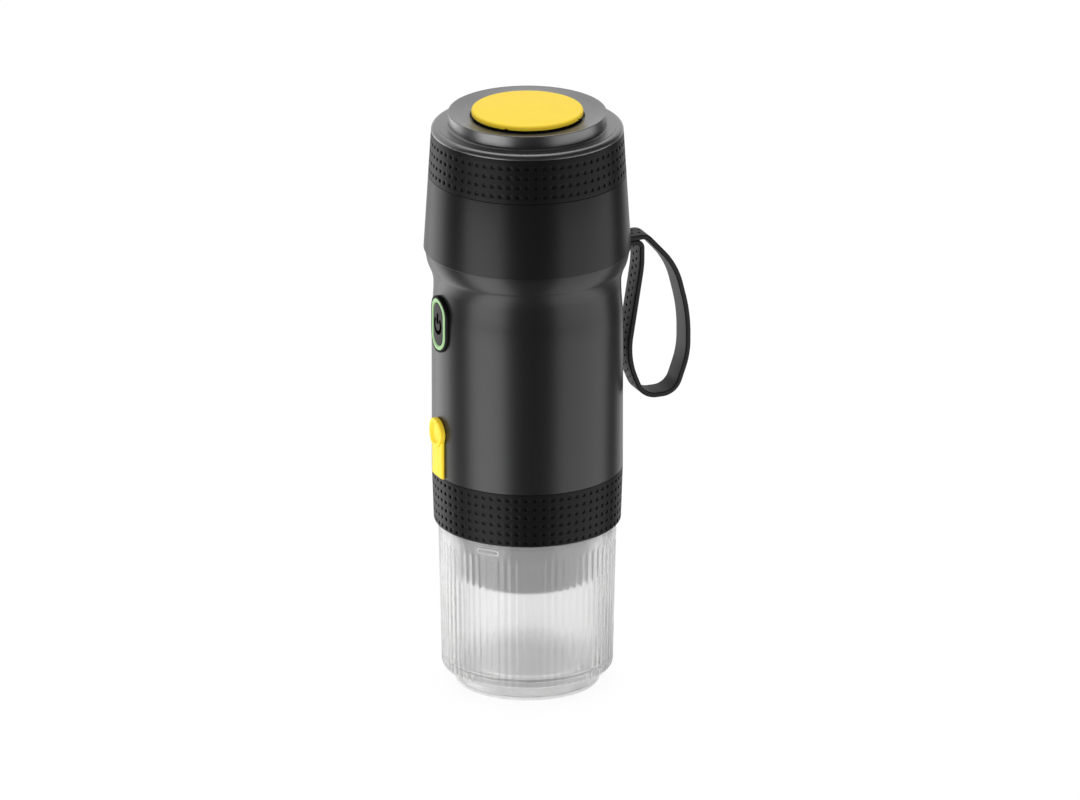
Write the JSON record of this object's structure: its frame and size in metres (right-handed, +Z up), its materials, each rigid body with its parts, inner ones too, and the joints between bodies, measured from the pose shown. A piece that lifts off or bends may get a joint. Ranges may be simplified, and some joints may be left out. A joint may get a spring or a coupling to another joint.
{
  "type": "portable coffee maker",
  "caption": "Cylindrical battery espresso maker standing on its own clear cup, with screw lid, vent button, power key, covered charging port, carrying strap and capsule holder inside the cup.",
  "frame": {"origin": "centre of the foot's underside, on the axis of the machine", "axes": "+Z up along the machine's axis; -Y is the front with the power key and charging port; +Y carries the strap; +X completes the right-handed frame"},
  "size_m": [0.0756, 0.1007, 0.2198],
  "materials": {
    "cup_clear": "moulded clear plastic, lightly frosted",
    "black_silicone": "moulded, matt",
    "painted_barrel": "sprayed dark grey metallic, satin",
    "black_abs": "fine satin texture",
    "tank_steel": "deep drawn, brushed",
    "seal_silicone": "moulded",
    "contact_brass": "turned",
    "cam_brass": "turned",
    "frame_plastic": "moulded",
    "cell_can": null,
    "motor_can": "plated can",
    "shaft_steel": "ground",
    "hose_silicone": "extruded",
    "board_green": "solder mask",
    "switch_black": "moulded",
    "bezel_black": "satin",
    "light_guide": "diffusing light guide",
    "key_grey": "moulded, matt",
    "yellow_silicone": "moulded, matt",
    "holder_grey": "moulded, satin",
    "screw_steel": "plated"
  },
  "bodies": {
    "cup_body": {"cup": "cup_clear", "cup_foot": "cup_clear"},
    "machine": {"barrel_shell": "painted_barrel", "battery_cells": "cell_can", "board_screws": "screw_steel", "brew_head": "holder_grey", "brew_seal": "seal_silicone", "button_bezel": "bezel_black", "chassis": "frame_plastic", "control_board": "board_green", "frame_screws": "screw_steel", "head_shell": "black_abs", "heater_plate": "tank_steel", "inlet_tube": "hose_silicone", "light_ring": "light_guide", "lower_grip": "black_silicone", "motor_screws": "screw_steel", "outlet_tube": "hose_silicone", "port_cover_root": "yellow_silicone", "power_switch": "switch_black", "pump_block": "frame_plastic", "pump_motor": "motor_can", "shower_screen": "tank_steel", "strap": "black_silicone", "strap_bracket": "frame_plastic", "strap_pin": "shaft_steel", "tank_seat": "seal_silicone", "temperature_probe": "contact_brass", "usb_socket": "shaft_steel", "water_tank": "tank_steel"},
    "lid": {"lid_shell": "black_abs", "upper_grip": "black_silicone", "lid_liner": "frame_plastic", "lid_seal": "seal_silicone", "vent_spring": "shaft_steel"},
    "vent_button": {"vent_pad": "yellow_silicone", "vent_plunger": "black_abs", "vent_valve": "seal_silicone", "vent_clip": "shaft_steel"},
    "power_button": {"power_key": "key_grey"},
    "port_flap": {"port_cover": "yellow_silicone"},
    "holder": {"capsule_holder": "holder_grey", "pierce_plate": "tank_steel"},
    "pump_rotor": {"pump_shaft": "shaft_steel", "pump_cam": "cam_brass"},
    "pump_piston": {"pump_plunger": "shaft_steel"}
  },
  "joints": [
    {"name": "machine_lift", "type": "slide", "parent": "cup_body", "child": "machine", "axis": [0, 0, 1], "range_m": [0, 0.075]},
    {"name": "lid_unscrew", "type": "slide", "parent": "machine", "child": "lid", "axis": [0, 0, 1], "range_m": [0, 0.03]},
    {"name": "vent_press", "type": "slide", "parent": "lid", "child": "vent_button", "axis": [0, 0, -1], "range_m": [0, 0.001], "stiffness_N_per_m": 500, "springref_m": -0.001, "deforming": ["vent_spring"]},
    {"name": "power_press", "type": "slide", "parent": "machine", "child": "power_button", "axis": [0, 1, 0], "range_m": [0, 0.0006], "stiffness_N_per_m": 800, "springref_m": -0.0003},
    {"name": "port_cover_fold", "type": "hinge", "parent": "machine", "child": "port_flap", "pos_m": [0, -0.0361, 0.0867], "axis": [1, 0, 0], "range_deg": [0, 110], "stiffness_Nm_per_rad": 0.002},
    {"name": "holder_unscrew", "type": "slide", "parent": "machine", "child": "holder", "axis": [0, 0, -1], "range_m": [0, 0.028]},
    {"name": "pump_spin", "type": "hinge", "parent": "machine", "child": "pump_rotor", "pos_m": [0, -0.011, 0.12], "axis": [0, 0, 1], "continuous": true},
    {"name": "plunger_stroke", "type": "slide", "parent": "machine", "child": "pump_piston", "axis": [1, 0, 0], "range_m": [-0.0012, 0.0012], "stiffness_N_per_m": 200}
  ]
}
